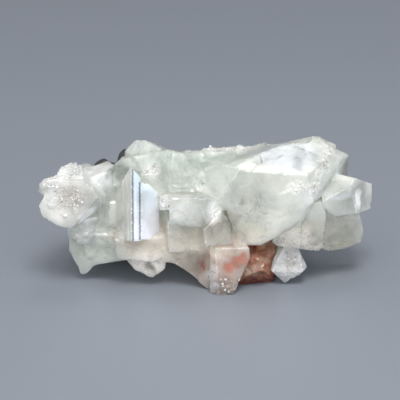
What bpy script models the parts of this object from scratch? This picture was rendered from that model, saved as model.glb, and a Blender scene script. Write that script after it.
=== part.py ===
"""Apophyllite druse: a hand specimen of intergrown apophyllite crystals on stilbite and a rind of basalt.

Every crystal is the space inside a set of flat faces. The crystals that grew together are one solid.
Sizes and places below are in millimetres: X runs along the specimen, -Y is its show side, and Z = 0 is
the table.
"""
import math
import random

import bmesh
import bpy
from mathutils import Matrix, Vector

MM = 0.001
REACH = 80.0            # half side of the cube that every shape is cut from
GAP = 0.3               # left between one mineral and the next
PYRAMID_TILT = 60.5     # degrees from the c axis to the normal of a pyramid face of apophyllite
PYRAMID_FULL = 1.25     # height of a full pyramid, as a share of the prism's mean width

PRISM_TURN = 34.0       # the striated prism: how far it is turned about its length, in degrees
PRISM_LEAN = 16.0       # how far it leans back
PRISM_SIDE = 9.3        # width of each of its faces
PRISM_EDGE = (-20.1, -9.0, 36.2)    # top of its front edge
PRISM_LENGTH = 21.0

CREST_COUNT = 22        # small crystals along the crest
CREST_FROM = -13.0
CREST_TO = 20.5
CREST_HEIGHT = 36.2     # of the tips at its left end
CREST_RISE = 2.3        # how much higher they are at its right end
BACK_COUNT = 9          # stubby crystals on the back
BACK_TOP = 35.5         # the highest that any of them reaches

BASALT_COUNT = 5        # lumps that make up the rind of basalt
BASALT_FROM = -27.0
BASALT_TO = 18.0
BASALT_HIGH = 31.0      # height of the rind at its left end
BASALT_LOW = 20.0       # and at its right end
BASALT_SUNK = 6.0       # how much of each lump is broken away underneath

CENTRE = (0.95, 2.6, 0.0)   # middle of the finished specimen's footprint, where the origin goes

# ---------------------------------------------------------------- shapes made of flat faces

def compass(azimuth, rise):
    """A direction: azimuth 0 is the show side and 90 is +X, and rise is above the horizon, in degrees."""
    a, r = math.radians(azimuth), math.radians(rise)
    return Vector((math.sin(a) * math.cos(r), -math.cos(a) * math.cos(r), math.sin(r)))


def within(faces, grow=0.0):
    """The closed mesh inside every (outward normal, point on the face), each face moved out by grow."""
    bm = bmesh.new()
    bmesh.ops.create_cube(bm, size=2 * REACH)
    for normal, point in faces:
        everything = bm.verts[:] + bm.edges[:] + bm.faces[:]
        cut = bmesh.ops.bisect_plane(
            bm, geom=everything, dist=1e-5, plane_co=point + normal * grow, plane_no=normal, clear_outer=True
        )
        rim = [item for item in cut["geom_cut"] if isinstance(item, bmesh.types.BMEdge)]
        if rim:
            bmesh.ops.contextual_create(bm, geom=rim)
    bmesh.ops.recalc_face_normals(bm, faces=bm.faces)
    return bm


def plates(*faces):
    """A shape given face by face, each as (azimuth, rise, point on it)."""
    return [(compass(azimuth, rise), Vector(point)) for azimuth, rise, point in faces]


def facets(inside, *corners):
    """A shape whose faces each pass through three corners and look away from a point inside."""
    faces = []
    for a, b, c in corners:
        a, b, c = Vector(a), Vector(b), Vector(c)
        normal = (b - a).cross(c - a).normalized()
        faces.append((normal if normal.dot(a - Vector(inside)) > 0 else -normal, a))
    return faces


def slab(point, azimuth, rise, thick, splay, outline, cuts=()):
    """A block behind one flat front face, which passes through point and has (x, z) corners.

    splay is how far each side face leans to show from the front, in degrees; below 0 it is undercut. It is
    one number, or one for each side, the first being the side from the first corner to the second. Each cut
    is one more face, as (azimuth, rise, point on it).
    """
    normal, point = compass(azimuth, rise), Vector(point)
    corners = []
    for x, z in outline:
        y = point.y - (normal.x * (x - point.x) + normal.z * (z - point.z)) / normal.y
        corners.append(Vector((x, y, z)))
    middle = sum(corners, Vector()) / len(corners)
    splays = splay if isinstance(splay, (list, tuple)) else [splay] * len(corners)
    faces = [(normal, point), (-normal, point - normal * thick)]
    for k, corner in enumerate(corners):
        side = (corners[(k + 1) % len(corners)] - corner).cross(normal).normalized()
        if side.dot(middle - corner) > 0:
            side = -side
        lean = math.radians(splays[k])
        faces.append((side * math.cos(lean) + normal * math.sin(lean), corner))
    return faces + plates(*cuts)


def posed(lean, roll, turn):
    """Spins about the c axis by turn, rolls it towards +X, then leans it back, in degrees."""
    return (
        Matrix.Rotation(math.radians(-lean), 3, "X")
        @ Matrix.Rotation(math.radians(roll), 3, "Y")
        @ Matrix.Rotation(math.radians(turn), 3, "Z")
    )


def crystal(tip, size, lean, roll, turn, point):
    """An apophyllite crystal: a square prism with a flat end at tip, its corners cut by four pyramid faces.

    size is (width, depth, length). point is near 0 for a plain cube end and 1 for a full pyramid.
    """
    width, depth, length = size
    pose, tip = posed(lean, roll, turn), Vector(tip)
    up = pose @ Vector((0, 0, 1))
    faces = [(up, tip), (-up, tip - up * length)]
    for axis, half in ((Vector((1, 0, 0)), width / 2), (Vector((0, 1, 0)), depth / 2)):
        for side in (axis, -axis):
            faces.append((pose @ side, tip + pose @ side * half))
    apex = tip + up * PYRAMID_FULL * (width + depth) / 2 * (1 - point)
    for quarter in range(4):
        faces.append((pose @ compass(45 + 90 * quarter, 90 - PYRAMID_TILT), apex))
    return faces


def broken(centre, radii, seed, count=26, rough=0.12):
    """A broken lump: count flat faces that touch an ellipsoid, each set in or out a little."""
    dice = random.Random(seed)
    faces = []
    for k in range(count):
        height = 1 - 2 * (k + 0.5) / count
        around = k * math.pi * (3 - math.sqrt(5)) + dice.uniform(-0.35, 0.35)
        level = math.sqrt(1 - height * height)
        normal = Vector((math.cos(around) * level, math.sin(around) * level, height))
        normal = (normal + Vector([dice.uniform(-0.2, 0.2) for _ in range(3)])).normalized()
        reach = math.sqrt(sum((normal[i] * radii[i]) ** 2 for i in range(3)))
        faces.append((normal, Vector(centre) + normal * reach * dice.uniform(1 - rough, 1)))
    return faces

# ---------------------------------------------------------------- the crystals

def heart():
    """The intergrown middle that the crystals stand on."""
    return [
        broken((2, 5, 20), (24, 13, 13), 3),
        broken((-24, 4, 18), (12, 11, 11), 5),
        broken((22, 3, 23), (15, 12, 12), 8),
        broken((4, 0, 15), (14, 11, 10), 11),
        broken((-5, -3, 17), (9, 10, 8.5), 13),
        broken((-16, -1, 21), (7, 5, 8), 17),
    ]


def main_crystal():
    """The largest crystal: a broad front face, a bright shoulder above it and an etched strip beside it."""
    left_tip, notch, ridge = (9.7, -11.4, 36.6), (19.1, -4.5, 39.4), (24.2, -1.7, 40.4)
    corner, elbow, knee = (30.3, -12, 26.5), (27.8, -12, 21.5), (24.8, -12, 18.9)
    front, shoulder = (0, 2, (20, -12, 25)), (8, 62.5, (19, -12, 35.0))
    return [
        facets(
            (20, -2, 28),
            (corner, (27.9, -12, 34.5), (34.8, -4, 39.4)),
            ((31.3, -10.6, 28.2), (38.6, -1.6, 35.1), (41.6, 4.5, 29.5)),
            (left_tip, notch, (6.0, -5, 37.2)),
            (notch, ridge, (17.5, 1.5, 38.9)),
            (left_tip, (4.8, -12, 27.3), (0.5, -7.3, 31)),
        ) + plates(
            front,
            shoulder,
            (60, -55, corner),
            (50, -50, (24.1, -12.2, 19.6)),
            (0, -75, (16, -12, 13.5)),
            (-72, -18, (8.5, -12, 18)),
            (-90, 0, (-3, -8, 30)),
            (66, 48, (38.2, 0, 37.0)),
            (90, 0, (41.3, 6, 30)),
            (5, 86, (26, -1.0, 40.1)),
            (178, 40, (24, -0.3, 40.1)),
            (165, -5, (24, 13, 26)),
        ),
        facets(
            (23, -8, 22),
            (corner, elbow, (27.3, -7, 24.9)),
            (elbow, knee, (24.7, -7, 22.1)),
            (knee, (18.0, -12, 14.9), (19.9, -7, 19.5)),
        ) + plates(
            front,
            (0, 90, corner),
            (-72, -18, (8.5, -12, 18)),
            (180, 0, (23, -4, 22)),
            (0, -75, (16, -12, 13.5)),
        ),
        facets(
            (5, -5, 31),
            (left_tip, (4.8, -12, 27.3), (0.5, -7.3, 31)),
            (left_tip, notch, (6.0, -5, 37.2)),
        ) + plates(
            front,
            shoulder,
            (-90, 0, (-3, -6, 30)),
            (90, 0, (9, -6, 30)),
            (0, -90, (4, -6, 24)),
            (180, 0, (4, 1, 30)),
        ),
        plates(
            (12, 55, (32, -0.5, 39.9)),
            (0, 88, (32, 2, 40.7)),
            (-90, 64, (30.9, 2, 40.7)),
            (90, 60, (32.8, 2, 40.7)),
            (68, 42, (36.0, 2, 38.8)),
            (165, 40, (32, 3.2, 40.6)),
            (0, -90, (33, 5, 36.5)),
            (90, 5, (37.8, 5, 34)),
        ),
    ]


def striated_crystal():
    """The upright prism: ribs grown side by side on its two front faces, under a gabled and stepped end."""
    pose, edge = posed(PRISM_LEAN, 0, PRISM_TURN), Vector(PRISM_EDGE)
    across, back, up = (pose @ Vector(axis) for axis in ((1, 0, 0), (0, 1, 0), (0, 0, 1)))
    gable = [((across * 0.69 + up * 0.72).normalized(), edge - up * 0.4), (compass(-101, 30), edge)]

    def column(a0, a1, b0, b1, top, bottom, slopes=gable):
        low, high = edge + across * a0 + back * b0 - up * bottom, edge + across * a1 + back * b1 - up * top
        return [(-across, low), (across, high), (-back, low), (back, high), (-up, low), (up, high), *slopes]

    ledge = [((across * 0.65 + up * 0.76).normalized(), edge + across * 5.7 - up * 5.2)]
    side = PRISM_SIDE
    return [
        column(0, 3.1, 0, side, -3, PRISM_LENGTH),
        column(0.2, side, 0.15, side, 5.1, PRISM_LENGTH - 0.3, ledge),
        column(0.5, 2.3, -0.25, 3, -3, PRISM_LENGTH),
        column(2.8, 4.0, -0.2, 3, 4.7, PRISM_LENGTH - 0.4, ledge),
        column(-0.3, 3, 1.5, 3.1, -3, PRISM_LENGTH),
        column(-0.2, 3, 3.9, 5.3, -3, PRISM_LENGTH),
        slab((-11.5, -6.8, 20.0), 10, 12, 12, 0, [(-14.5, 30.0), (-9.0, 29.0), (-9.0, 10.0), (-14.5, 10.0)]),
    ]


def upper_crystals():
    """The milky crystals along the crest, from the bump over the striated prism to the main crystal."""
    return [
        slab((-17.4, 1.0, 37.0), -15, 35, 14, 10,
             [(-22.7, 36.5), (-20.7, 38.8), (-19.2, 39.9), (-16.7, 39.9), (-12.3, 38.4), (-11.5, 34.0),
              (-20.8, 35.0)]),
        slab((-22.5, -5.0, 33.8), -25, 30, 10, 5,
             [(-25.6, 34.5), (-23.3, 36.4), (-20.5, 37.2), (-19.0, 34.5), (-21.0, 31.0), (-25.4, 29.0)]),
        slab((-18.5, -3.0, 33.0), -8, 25, 12, 5,
             [(-23.5, 36.0), (-13.0, 37.5), (-12.0, 26.0), (-23.0, 26.0)]),
        slab((-6.0, -6.2, 32.5), -10, 33, 18, [0, -10, 0, 12],
             [(-10.5, 38.2), (0.5, 38.5), (-1.5, 24.5), (-10.0, 25.5)]),
        slab((4.0, -6.3, 32.5), 6, 37, 18, [0, -10, 0, 0, 12],
             [(-2.5, 38.5), (9.0, 38.2), (4.6, 26.5), (2.0, 24.0), (-1.0, 24.0)]),
        slab((0.0, -9.1, 28.5), 0, 22, 14, [0, 5, 0, 5],
             [(-10.0, 30.5), (6.0, 31.0), (5.5, 23.0), (-9.5, 23.0)]),
        slab((3.5, -5.4, 35.4), -35, 45, 5, 8,
             [(0.4, 36.8), (5.8, 37.2), (4.0, 33.6), (0.8, 34.4)]),
        slab((6.5, -6.2, 35.0), 40, 30, 5, 8,
             [(4.6, 36.9), (8.5, 36.2), (7.4, 33.2), (4.8, 33.9)]),
        slab((10.3, 0.0, 34.2), 8, 40, 18, [0, 0, 0, 0, 8],
             [(3.0, 37.4), (17.5, 38.0), (18.0, 33.0), (10.3, 31.0), (1.5, 28.0)]),
        slab((-13.5, -3.8, 32.0), -30, 20, 14, [0, 0, 0, 10],
             [(-18.0, 36.5), (-10.0, 39.0), (-8.0, 24.0), (-15.0, 22.0)]),
    ]


def middle_crystals():
    """The blocks in front of the crest, and the clearer ones under them that hang over the arch."""
    return [
        slab((-4.1, -15.0, 24.2), 0, 5, 12, [0, 0, 0, 0, 5],
             [(-9.5, 29.0), (-1.3, 29.0), (0.7, 20.9), (-1.0, 20.3), (-9.3, 21.5)]),
        slab((2.1, -14.0, 24.8), 42, 8, 12, [5, 0, 0, 0, -30],
             [(-1.3, 29.4), (3.7, 27.7), (4.8, 23.9), (2.6, 21.6), (0.7, 21.2)]),
        slab((-6.1, -13.0, 15.3), 10, 0, 12, [0, 0, 0, 0, 0],
             [(-9.9, 21.4), (-2.4, 20.3), (-3.0, 15.5), (-5.0, 11.2), (-9.9, 12.0)]),
        slab((3.8, -15.0, 19.6), 20, 6, 12, [4, -10, 0, 0, 4],
             [(4.8, 24.9), (6.8, 22.0), (8.5, 14.6), (0.7, 15.2), (0.1, 20.0)]),
        slab((-0.9, -12.5, 14.8), -5, 0, 12, 0,
             [(-5.5, 21.0), (1.8, 21.0), (1.4, 10.3), (-5.5, 10.1)]),
        slab((-10.9, -14.0, 27.0), -10, 10, 6, 5,
             [(-12.0, 28.8), (-9.6, 28.7), (-9.6, 25.4), (-12.0, 25.2)]),
    ]


def lower_crystals():
    """What hangs below: the arch, the front crystal that reaches the table, and the blunt one beside it."""
    return [
        slab((-8.0, -11.8, 9.0), -8, -8, 12, [0, 0, -25, -20, 0],
             [(-12.2, 13.0), (-3.0, 13.0), (-3.0, 5.4), (-7.5, 6.8), (-11.6, 7.1)]),
        slab((-2.0, -12.3, 7.0), -4, -4, 13, [0, 0, 0, -12, -12],
             [(-8.0, 13.0), (3.0, 13.0), (3.0, -1.0), (1.8, -0.2), (-7.5, 6.9)]),
        slab((8.5, -15.0, 8.1), 8, 3, 10, [20, -20, -20, 0, 50],
             [(3.3, 14.3), (13.0, 13.7), (13.0, 10.8), (8.0, -1.0), (4.2, -1.0)], [(-92, 0, (1.7, -14, 5))]),
        slab((-16.5, -10.6, 6.0), 0, -7, 12, [0, 0, -10, -10, -10, -15],
             [(-24.0, 12.5), (-10.0, 12.5), (-10.9, 5.4), (-14.2, 2.4), (-15.6, 2.6), (-19.8, 5.0)]),
        slab((-17.0, -11.8, 12.2), 4, 6, 12, [40, 0, 0, -30, -20],
             [(-25.2, 15.5), (-10.0, 15.5), (-10.0, 10.5), (-14.5, 8.0), (-24.5, 9.5)]),
    ]


def left_crystals():
    """The slab behind the rosette, and the pale green foot under it."""
    return [
        slab((-29.0, -6.6, 21.0), 22, 3, 10, [-4, 0, 0, 0, 0],
             [(-34.0, 31.2), (-23.5, 33.9), (-23.5, 8.3), (-33.0, 8.0), (-36.0, 20.0)]),
        slab((-36.0, -4.0, 30.0), -20, 20, 10, 10,
             [(-41.0, 30.0), (-37.0, 33.0), (-33.0, 32.5), (-31.0, 20.0), (-40.0, 20.0)]),
        slab((-31.8, -8.0, 9.6), -10, -8, 12, [0, 0, -20, -10, 10, 10],
             [(-38.0, 16.0), (-23.0, 16.0), (-21.7, 7.5), (-32.4, 4.6), (-36.4, 5.0), (-38.3, 9.8)]),
        slab((-31.8, -8.0, 9.6), -10, -8, 6, [0, 0, 0, 0, 5],
             [(-36.9, 8.0), (-29.5, 8.0), (-33.0, 2.6), (-33.9, 1.9), (-35.3, 2.1)]),
        slab((-33.8, -10.0, 15.6), 8, -8, 8, [0, 10, 0, 0, 0],
             [(-38.0, 19.5), (-29.5, 21.5), (-31.8, 12.4), (-33.2, 12.0), (-38.1, 15.8)]),
    ]


def rosette():
    """The rough rosette at the left end: one squat crystal and the smaller ones that grew on its rim."""
    return [
        slab((-37.5, -12.5, 26.6), -14, 12, 8, [10, 0, 0, 0, 0, 0, 0, 8, 10, 5],
             [(-44.3, 27.9), (-40.5, 32.7), (-33.2, 33.1), (-30.7, 31.4), (-28.8, 28.3),
              (-29.7, 25.4), (-36.8, 19.3), (-40.5, 20.0), (-44.7, 22.1), (-46.0, 25.0)],
             [(42, -28, (-33.6, -13.4, 22.8))]),
        slab((-43.8, -10.0, 30.6), -35, 10, 7, 8,
             [(-46.1, 28.6), (-45.8, 31.0), (-44.6, 32.0), (-41.0, 33.2), (-40.7, 30.4), (-44.0, 27.5)]),
        slab((-36.9, -8.0, 33.6), 0, 28, 6, 12,
             [(-41.0, 32.5), (-39.7, 35.0), (-36.6, 36.0), (-33.9, 35.0), (-33.2, 31.8), (-37.1, 30.6)]),
        slab((-30.4, -12.0, 29.0), 28, 8, 4, 0,
             [(-31.9, 31.7), (-30.3, 31.7), (-28.6, 27.9), (-29.4, 25.7), (-31.9, 27.8)]),
    ]


def right_crystals():
    """The prism that points right, the clear blocks under the main crystal, and the small hanging crystal."""
    return [
        facets(
            (38, -2, 24),
            ((35.0, -9.0, 26.7), (42.2, -6.6, 30.1), (38.2, -7.9, 20.8)),
            ((35.0, -9.0, 26.7), (42.2, -6.6, 30.1), (33.9, -5.0, 28.8)),
            ((41.3, -6.9, 29.0), (44.3, -4.0, 26.8), (43.8, -5.5, 21.6)),
            ((44.3, -4.0, 26.8), (48.0, 0.0, 26.0), (47.8, -2.0, 20.2)),
            ((48.0, 0.0, 26.0), (47.8, -2.0, 20.2), (45.5, 8.0, 25.0)),
            ((40.7, 0.0, 29.6), (46.3, -2.0, 28.8), (48.1, 0.0, 27.4)),
            ((43.8, -5.5, 20.7), (38.2, -7.9, 19.9), (42.0, 0.0, 18.4)),
            ((47.8, -2.0, 20.2), (43.8, -5.5, 20.7), (42.0, 0.0, 18.4)),
            ((33.0, -9.5, 24.4), (36.8, -8.2, 20.6), (36.5, 0.0, 20.6)),
            ((41.4, 6.0, 27.7), (45.5, 8.0, 25.0), (42.0, 8.0, 18.0)),
            ((33.0, -8.0, 27.0), (33.0, 0.0, 27.0), (33.5, 0.0, 20.0)),
        ),
        slab((39.4, -5.0, 13.7), 12, 2, 12, [5, 5, 10, 10, 5, 0, 0],
             [(30.2, 23.5), (44.0, 21.0), (45.8, 14.1), (45.0, 10.8), (41.9, 9.6), (36.0, 8.8),
              (31.0, 10.9)]),
        slab((31.2, -9.5, 17.4), 5, 0, 13, [0, 0, 0, 0, 0, 0],
             [(25.0, 26.0), (33.0, 25.5), (34.4, 22.0), (34.4, 13.0), (32.8, 10.8), (26.8, 11.5)]),
        slab((22.9, -10.5, 15.0), -6, -4, 13, [0, 0, -10, 0, 0],
             [(19.8, 17.9), (27.3, 22.5), (27.2, 11.7), (21.0, 12.4), (19.3, 13.7)]),
        facets(
            (24, -7, 5),
            ((19.4, -10.5, 4.8), (28.2, -10.5, 4.7), (22.4, -8.5, 10.8)),
            ((28.2, -10.5, 4.7), (29.6, -8.0, 5.2), (27.0, -8.5, 10.8)),
            ((19.4, -10.5, 4.8), (28.2, -10.5, 4.7), (23.2, -8.6, 0.4)),
            ((28.2, -10.5, 4.7), (29.6, -8.0, 5.2), (23.2, -8.6, 0.4)),
            ((19.4, -10.5, 4.8), (17.6, -6.0, 5.5), (22.4, -8.5, 10.8)),
            ((19.4, -10.5, 4.8), (17.6, -6.0, 5.5), (23.2, -8.6, 0.4)),
            ((29.6, -8.0, 5.2), (27.0, -2.0, 5.5), (27.0, -8.5, 10.8)),
            ((29.6, -8.0, 5.2), (27.0, -2.0, 5.5), (23.2, -8.6, 0.4)),
            ((17.6, -6.0, 5.5), (25.0, -1.0, 5.5), (24.0, -3.0, 12.0)),
            ((17.6, -6.0, 5.5), (25.0, -1.0, 5.5), (23.2, -8.6, 0.4)),
            ((24, -7, 14), (25, -7, 14), (24, -8, 14)),
        ),
    ]


def growths():
    """Small crystals that roughen the middle of the rosette and the knobs on its rim."""
    dice = random.Random(12)
    shapes = []
    for middle, azimuth, rise, spread, count in (
        ((-38.4, -12.3, 26.8), -14, 12, 5.0, 18),
        ((-43.6, -10.1, 30.3), -35, 10, 2.0, 5),
        ((-37.0, -8.3, 33.3), 0, 28, 2.6, 7),
        ((-34.5, -10.0, 15.0), 8, -8, 1.8, 4),
    ):
        outward = compass(azimuth, rise)
        aside = outward.cross(Vector((0, 0, 1))).normalized()
        above = aside.cross(outward)
        for _ in range(count):
            angle, reach = dice.uniform(0, 2 * math.pi), spread * math.sqrt(dice.random())
            foot = Vector(middle) + aside * math.cos(angle) * reach + above * math.sin(angle) * reach
            width = dice.uniform(0.9, 2.0)
            tip = foot + outward * dice.uniform(0.25, 0.7)
            shapes.append(crystal(
                tip, (width, width * dice.uniform(0.8, 1.3), 3), -90 + rise + dice.uniform(-22, 22),
                azimuth + dice.uniform(-22, 22), dice.uniform(0, 90), dice.uniform(0.1, 0.4),
            ))
    return shapes


def crest():
    """Small blocky crystals in a loose row along the crest, each turned its own way."""
    dice = random.Random(21)
    shapes = []
    for k in range(CREST_COUNT):
        along = (k + dice.uniform(-0.3, 0.3)) / (CREST_COUNT - 1)
        x = CREST_FROM + (CREST_TO - CREST_FROM) * along
        y = 1.5 + dice.uniform(-1.0, 2.0)
        z = CREST_HEIGHT + CREST_RISE * along + dice.uniform(-0.8, 0.4)
        width = dice.uniform(2.0, 4.2)
        shapes.append(crystal(
            (x, y, z), (width, width * dice.uniform(0.8, 1.2), 6), dice.uniform(5, 25), dice.uniform(-18, 18),
            dice.uniform(0, 90), dice.uniform(0.05, 0.3),
        ))
    return shapes


def back_crystals():
    """Broken blocks and stubby crystals on the side away from the show face."""
    dice = random.Random(4)
    shapes = []
    for k in range(BACK_COUNT):
        along = (k + 0.5) / BACK_COUNT
        x = -20 + 58 * along + dice.uniform(-2, 2)
        size = dice.uniform(7, 12)
        z = min(27 + 5 * along + dice.uniform(-5, 5), BACK_TOP - size * 0.7)
        shapes.append(crystal(
            (x, 12.5 + dice.uniform(-2, 2.5), z), (size, size * dice.uniform(0.8, 1.2), 16),
            dice.uniform(55, 100), dice.uniform(-25, 25), dice.uniform(0, 90), dice.uniform(0.2, 0.7),
        ))
    return shapes


def all_crystals():
    groups = (
        heart, main_crystal, striated_crystal, upper_crystals, middle_crystals, lower_crystals,
        left_crystals, rosette, right_crystals, growths, crest, back_crystals,
    )
    return [shape for group in groups for shape in group()]

# ---------------------------------------------------------------- the other minerals

def stilbite_lumps():
    """The salmon-coloured ball of stilbite that the front crystals grew over; its foot rests on the table."""
    return [
        broken((11, -4.2, 5.5), (10.5, 6.6, 7.5), 31, 22, 0.08),
        broken((4.5, -3.8, 5.0), (7.5, 7.0, 6.5), 37, 20, 0.08),
        broken((16.5, -2.5, 8.0), (6.0, 6.0, 6.0), 41, 18, 0.08),
    ]


def basalt_lumps():
    """The dark rind of the basalt that the cavity was in: it makes the back, and stands on the table."""
    dice = random.Random(9)
    lumps = [
        broken((-22.6, 9.0, 28.9), (2.3, 4.0, 5.6), 54, 18, 0.1),
        broken((-28.9, 9.0, 26.6), (3.8, 4.0, 4.4), 55, 18, 0.1),
    ]
    for k in range(BASALT_COUNT):
        along = k / (BASALT_COUNT - 1)
        x = BASALT_FROM + (BASALT_TO - BASALT_FROM) * along
        half = (BASALT_HIGH + (BASALT_LOW - BASALT_HIGH) * along + BASALT_SUNK) / 2
        radii = (dice.uniform(9.5, 12), dice.uniform(6, 7.5), half)
        lumps.append(broken((x, 12.0 + dice.uniform(-1.0, 1.2), half - BASALT_SUNK), radii, 60 + k, 24, 0.16))
    return lumps

# ---------------------------------------------------------------- objects

def to_object(name, bm):
    for vert in bm.verts:
        vert.co = (vert.co - Vector(CENTRE)) * MM
    mesh = bpy.data.meshes.new(name)
    bm.to_mesh(mesh)
    bm.free()
    obj = bpy.data.objects.new(name, mesh)
    bpy.context.scene.collection.objects.link(obj)
    return obj


def finish(obj, colour, roughness):
    """A plain non-metallic material of the mineral's own colour."""
    material = bpy.data.materials.new(obj.name)
    material.use_nodes = True
    shader = material.node_tree.nodes["Principled BSDF"]
    shader.inputs["Base Color"].default_value = (*colour, 1.0)
    shader.inputs["Roughness"].default_value = roughness
    shader.inputs["Metallic"].default_value = 0.0
    obj.data.materials.append(material)


def helpers(name, shapes, grow=0.0):
    """A collection of shapes that only a Boolean reads."""
    group = bpy.data.collections.new(name)
    for k, faces in enumerate(shapes):
        obj = to_object(f"{name}_{k}", within(faces, grow))
        obj.hide_render = True
        obj.display_type = "WIRE"
        group.objects.link(obj)
    return group


def boolean(obj, operation, group):
    """Some crystals share a plane, as the ribs of one face do, and only the MANIFOLD solver closes those."""
    modifier = obj.modifiers.new(f"{operation.lower()} {group.name}", "BOOLEAN")
    modifier.operation = operation
    modifier.operand_type = "COLLECTION"
    modifier.collection = group
    modifier.solver = "MANIFOLD"


def mineral(name, lumps, away, colour, roughness):
    """One mineral's solid: its lumps joined, then cut away from what it meets."""
    first, *rest = lumps
    obj = to_object(name, within(first))
    boolean(obj, "UNION", helpers(f"{name}_piece", rest))
    for group in away:
        boolean(obj, "DIFFERENCE", group)
    finish(obj, colour, roughness)


def main():
    for obj in list(bpy.data.objects):
        bpy.data.objects.remove(obj)
    side = REACH - 1
    table = helpers("table", [plates(
        (0, 0, (0, -side, 0)), (180, 0, (0, side, 0)), (90, 0, (side, 0, 0)), (-90, 0, (-side, 0, 0)),
        (0, 90, (0, 0, 0)), (0, -90, (0, 0, -side)),
    )])
    around_stilbite = helpers("around_stilbite", stilbite_lumps(), GAP)
    around_basalt = helpers("around_basalt", basalt_lumps(), GAP)
    mineral(
        "apophyllite_crystals", all_crystals(), (around_stilbite, around_basalt, table),
        (0.80, 0.84, 0.80), 0.12,
    )
    mineral("stilbite", stilbite_lumps(), (around_basalt, table), (0.66, 0.30, 0.20), 0.5)
    mineral("basalt", basalt_lumps(), (table,), (0.05, 0.05, 0.055), 0.85)


main()
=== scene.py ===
"""Looks of an apophyllite druse: clear and milky crystals grown together on stilbite and a rind of basalt.

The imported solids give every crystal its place. Here each flat face is cut into small triangles, so that
growth, etching and wear can shape it, and each mineral gets its finish. Sizes are in millimetres unless a
name or a comment says otherwise.
"""

import math

import bmesh
import bpy
import numpy as np
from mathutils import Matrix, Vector, geometry, noise


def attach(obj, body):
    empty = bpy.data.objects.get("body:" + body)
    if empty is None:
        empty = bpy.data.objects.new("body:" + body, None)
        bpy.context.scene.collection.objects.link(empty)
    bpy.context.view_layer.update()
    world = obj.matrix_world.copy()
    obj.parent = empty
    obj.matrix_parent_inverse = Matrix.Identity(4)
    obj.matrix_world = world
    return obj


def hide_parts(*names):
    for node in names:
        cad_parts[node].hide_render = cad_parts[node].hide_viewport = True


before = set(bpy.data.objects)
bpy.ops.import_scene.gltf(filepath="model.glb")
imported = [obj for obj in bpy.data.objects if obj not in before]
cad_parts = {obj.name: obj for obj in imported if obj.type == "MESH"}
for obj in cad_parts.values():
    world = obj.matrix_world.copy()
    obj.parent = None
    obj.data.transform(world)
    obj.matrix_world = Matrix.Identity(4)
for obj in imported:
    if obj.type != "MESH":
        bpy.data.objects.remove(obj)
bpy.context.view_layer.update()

# ---------------------------------------------------------------- camera
# The specimen stands on a table at about arm's length. The camera looks down at it by 22 degrees, straight
# at its show side, and a long lens keeps it small in the frame.
CAMERA_RISE = math.radians(22)
CAMERA_AWAY = 0.420                     # metres
CAMERA_AIM = Vector((-0.00195, -0.0026, 0.0225))
CAMERA_NEAR = 0.01                      # metres; what is nearer is not drawn
CAMERA_LENS = 132.3
CAMERA_SENSOR = 36


def linked(name, data):
    """A new object that holds data, in the scene."""
    made = bpy.data.objects.new(name, data)
    bpy.context.scene.collection.objects.link(made)
    return made


camera_data = bpy.data.cameras.new("camera")
camera_data.sensor_width = CAMERA_SENSOR
camera_data.lens = CAMERA_LENS
camera_data.clip_start = CAMERA_NEAR
camera = linked("camera", camera_data)
towards_camera = Vector((0, -math.cos(CAMERA_RISE), math.sin(CAMERA_RISE)))
camera.location = CAMERA_AIM + towards_camera * CAMERA_AWAY
camera.rotation_euler = towards_camera.to_track_quat("Z", "Y").to_euler()
bpy.context.scene.camera = camera

# ---------------------------------------------------------------- light
# A soft box hangs a little behind the specimen and whitens the faces that lie back, and a stronger one hangs
# in front. A cool panel stands low on the right, where the ribbed prism mirrors it, and the room is brighter
# in front than behind.
OVERHEAD_ENERGY = 0.50                  # watts, as are the next two
FRONT_ENERGY = 3.1
PANEL_ENERGY = 0.45
ROOM_FRONT = 1.80                       # brightness of the room on the show side, and behind the specimen
ROOM_BACK = 0.15
ROOM_BRIGHTEST = (-0.3, -0.95, 0)       # the way to its brightest side


def add(tree, kind, links=None, **settings):
    """Adds a node, sets its properties and its open inputs by name, and links the inputs in links."""
    made = tree.nodes.new(kind)
    for key, value in settings.items():
        if hasattr(made, key):
            setattr(made, key, value)
        else:
            made.inputs[key.replace("_", " ")].default_value = value
    for key, output in (links or {}).items():
        tree.links.new(output, made.inputs[key])
    return made


def linear(code):
    """An sRGB hex colour as the linear colour that Blender takes."""
    parts = [int(code[i:i + 2], 16) / 255 for i in (1, 3, 5)]
    return tuple(p / 12.92 if p <= 0.04045 else ((p + 0.055) / 1.055) ** 2.4 for p in parts) + (1.0,)


def soft_box(name, place, aim, width, height, watts, tint):
    """A rectangular area light at place that faces aim. Places and sizes are in metres."""
    data = bpy.data.lights.new(name, "AREA")
    data.shape = "RECTANGLE"
    data.size = width
    data.size_y = height
    data.energy = watts
    data.color = linear(tint)[:3]
    light = linked(name, data)
    light.location = place
    light.rotation_euler = (Vector(place) - Vector(aim)).to_track_quat("Z", "Y").to_euler()


soft_box("overhead soft box", (0.06, 0.155, 0.62), (0, 0, 0.02), 0.17, 0.15, OVERHEAD_ENERGY, "#FFFFFF")
soft_box("front soft box", (0.04, -0.29, 0.58), (0, 0, 0.02), 0.22, 0.22, FRONT_ENERGY, "#FFFBF6")
soft_box("low cool panel", (0.483, -0.239, 0.060), (-0.016, -0.009, 0.03), 0.20, 0.20,
         PANEL_ENERGY, "#CFE3FF")

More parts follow.
